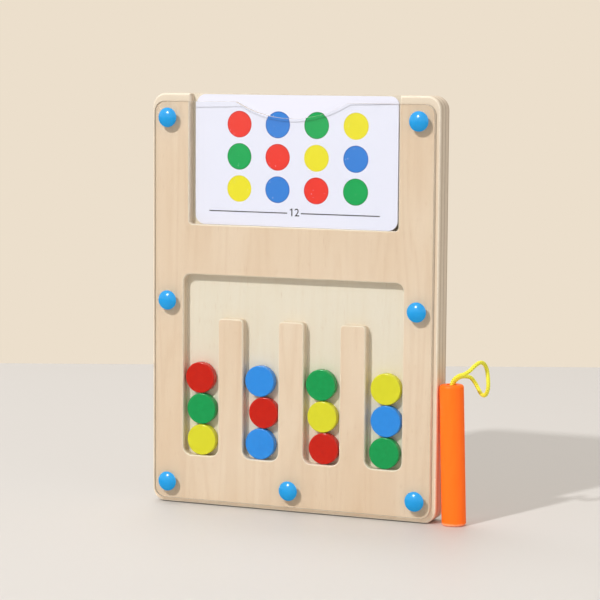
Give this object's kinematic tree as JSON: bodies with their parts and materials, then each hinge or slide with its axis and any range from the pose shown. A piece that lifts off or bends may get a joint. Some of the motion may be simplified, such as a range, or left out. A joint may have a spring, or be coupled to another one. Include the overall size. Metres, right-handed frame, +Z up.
{
  "type": "magnetic maze board",
  "caption": "Upright wooden sorting board: coloured steel-cored discs slide in channels behind a clear riveted cover, drawn by a corded magnetic pen to match a pattern card.",
  "frame": {"origin": "middle of the board's bottom face, where it stands", "axes": "+Z up the board, +X to the right as seen from the front, +Y from the front to the back"},
  "size_m": [0.1785, 0.0218, 0.21],
  "materials": {
    "board_wood": "satin",
    "clear_acrylic": "gloss",
    "rivet_blue": "gloss",
    "card": "satin",
    "disc_red": "gloss",
    "disc_blue": "gloss",
    "disc_green": "gloss",
    "disc_yellow": "gloss",
    "slug_steel": "satin",
    "pen_orange": "gloss",
    "magnet_nickel": "satin",
    "cord_yellow": "matte"
  },
  "bodies": {
    "board": {"back_board": "board_wood", "front_frame": "board_wood", "clear_cover": "clear_acrylic", "cover_rivets": "rivet_blue"},
    "card": {"pattern_card": "card"},
    "pen": {"pen_barrel": "pen_orange", "pen_magnet": "magnet_nickel", "pen_plug": "pen_orange", "pen_cord": "cord_yellow"},
    "disc_1_low": {"disc_1_low": "disc_yellow", "slug_1_low": "slug_steel"},
    "disc_1_mid": {"disc_1_mid": "disc_green", "slug_1_mid": "slug_steel"},
    "disc_1_top": {"disc_1_top": "disc_red", "slug_1_top": "slug_steel"},
    "disc_2_low": {"disc_2_low": "disc_blue", "slug_2_low": "slug_steel"},
    "disc_2_mid": {"disc_2_mid": "disc_red", "slug_2_mid": "slug_steel"},
    "disc_2_top": {"disc_2_top": "disc_blue", "slug_2_top": "slug_steel"},
    "disc_3_low": {"disc_3_low": "disc_red", "slug_3_low": "slug_steel"},
    "disc_3_mid": {"disc_3_mid": "disc_yellow", "slug_3_mid": "slug_steel"},
    "disc_3_top": {"disc_3_top": "disc_green", "slug_3_top": "slug_steel"},
    "disc_4_low": {"disc_4_low": "disc_green", "slug_4_low": "slug_steel"},
    "disc_4_mid": {"disc_4_mid": "disc_blue", "slug_4_mid": "slug_steel"},
    "disc_4_top": {"disc_4_top": "disc_yellow", "slug_4_top": "slug_steel"}
  },
  "joints": [
    {"name": "card_lift", "type": "slide", "parent": "board", "child": "card", "axis": [0, 0, 1], "range_m": [0, 0.07]},
    {"name": "pen_lift", "type": "slide", "parent": "board", "child": "pen", "axis": [0, 0, 1], "range_m": [0, 0.1]},
    {"name": "disc_1_low_slide", "type": "slide", "parent": "board", "child": "disc_1_low", "axis": [0, 0, 1], "range_m": [0, 0.0148]},
    {"name": "disc_1_mid_slide", "type": "slide", "parent": "disc_1_low", "child": "disc_1_mid", "axis": [0, 0, 1], "range_m": [0, 0.0148]},
    {"name": "disc_1_top_slide", "type": "slide", "parent": "disc_1_mid", "child": "disc_1_top", "axis": [0, 0, 1], "range_m": [0, 0.0148]},
    {"name": "disc_2_low_slide", "type": "slide", "parent": "board", "child": "disc_2_low", "axis": [0, 0, 1], "range_m": [0, 0.0148]},
    {"name": "disc_2_mid_slide", "type": "slide", "parent": "disc_2_low", "child": "disc_2_mid", "axis": [0, 0, 1], "range_m": [0, 0.0148]},
    {"name": "disc_2_top_slide", "type": "slide", "parent": "disc_2_mid", "child": "disc_2_top", "axis": [0, 0, 1], "range_m": [0, 0.0148]},
    {"name": "disc_3_low_slide", "type": "slide", "parent": "board", "child": "disc_3_low", "axis": [0, 0, 1], "range_m": [0, 0.0148]},
    {"name": "disc_3_mid_slide", "type": "slide", "parent": "disc_3_low", "child": "disc_3_mid", "axis": [0, 0, 1], "range_m": [0, 0.0148]},
    {"name": "disc_3_top_slide", "type": "slide", "parent": "disc_3_mid", "child": "disc_3_top", "axis": [0, 0, 1], "range_m": [0, 0.0148]},
    {"name": "disc_4_low_slide", "type": "slide", "parent": "board", "child": "disc_4_low", "axis": [0, 0, 1], "range_m": [0, 0.0148]},
    {"name": "disc_4_mid_slide", "type": "slide", "parent": "disc_4_low", "child": "disc_4_mid", "axis": [0, 0, 1], "range_m": [0, 0.0148]},
    {"name": "disc_4_top_slide", "type": "slide", "parent": "disc_4_mid", "child": "disc_4_top", "axis": [0, 0, 1], "range_m": [0, 0.0148]}
  ]
}
